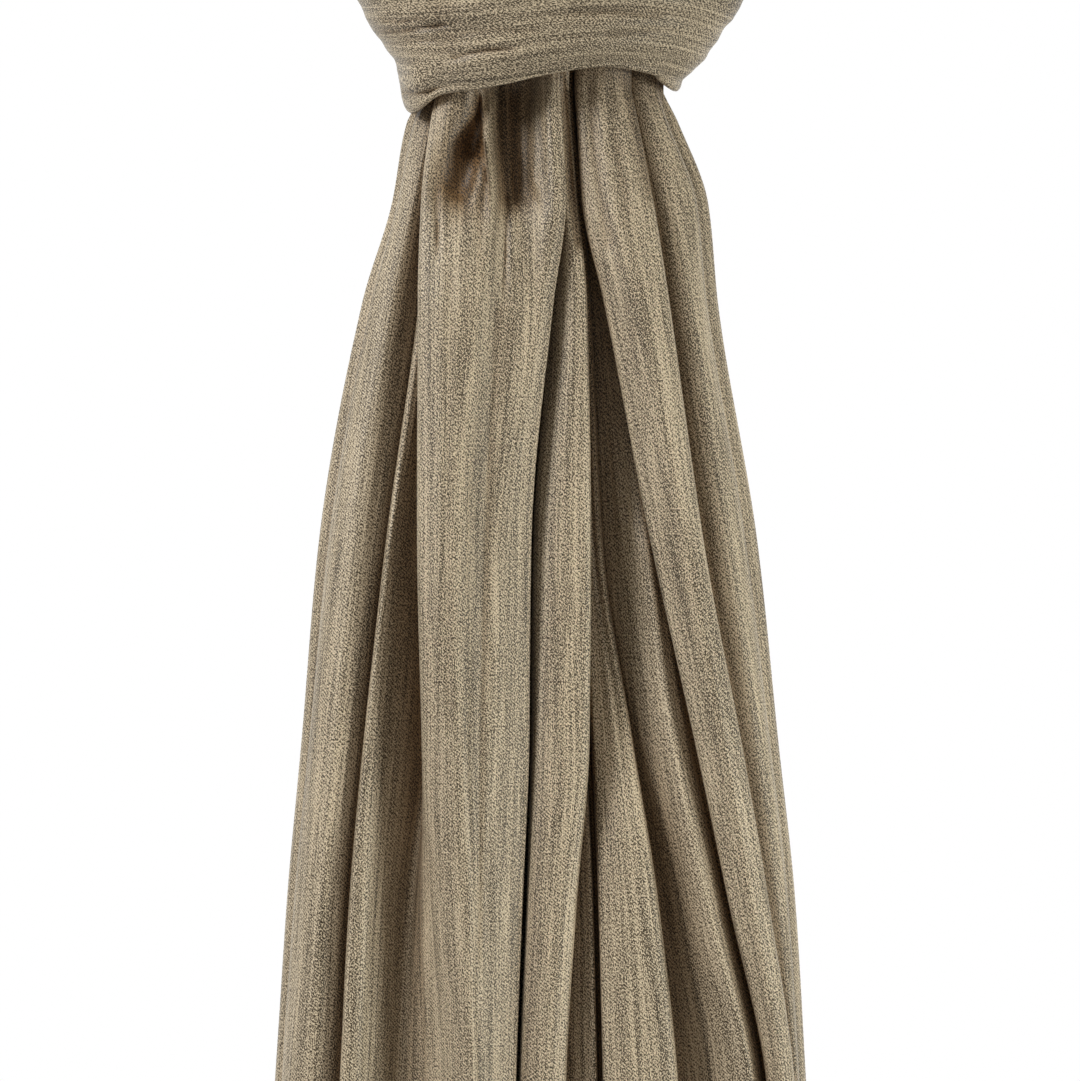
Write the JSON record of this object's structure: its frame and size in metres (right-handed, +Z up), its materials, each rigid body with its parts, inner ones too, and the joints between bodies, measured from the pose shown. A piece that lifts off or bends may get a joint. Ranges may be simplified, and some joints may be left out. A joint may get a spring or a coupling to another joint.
{
  "type": "hijab scarf hitched over a rail",
  "caption": "Long plain silk crepe hijab scarf, folded in half and hitched so that a wide gathered band holds two pleated tails that hang below it.",
  "frame": {"origin": "on the axis of the rail that the scarf hangs from, midway between its two loops", "axes": "+Z up along the hanging tails, front of the band facing -Y, +X to the right of someone who looks at the front and along the rail"},
  "size_m": [0.2079, 0.0939, 0.715],
  "materials": {
    "silk_crepe": "grey-beige twill-woven silk crepe with a soft sheen"
  },
  "bodies": {
    "root": {"band": "silk_crepe", "left_loop": "silk_crepe", "right_loop": "silk_crepe", "left_tail": "silk_crepe", "right_tail": "silk_crepe"}
  },
  "joints": []
}
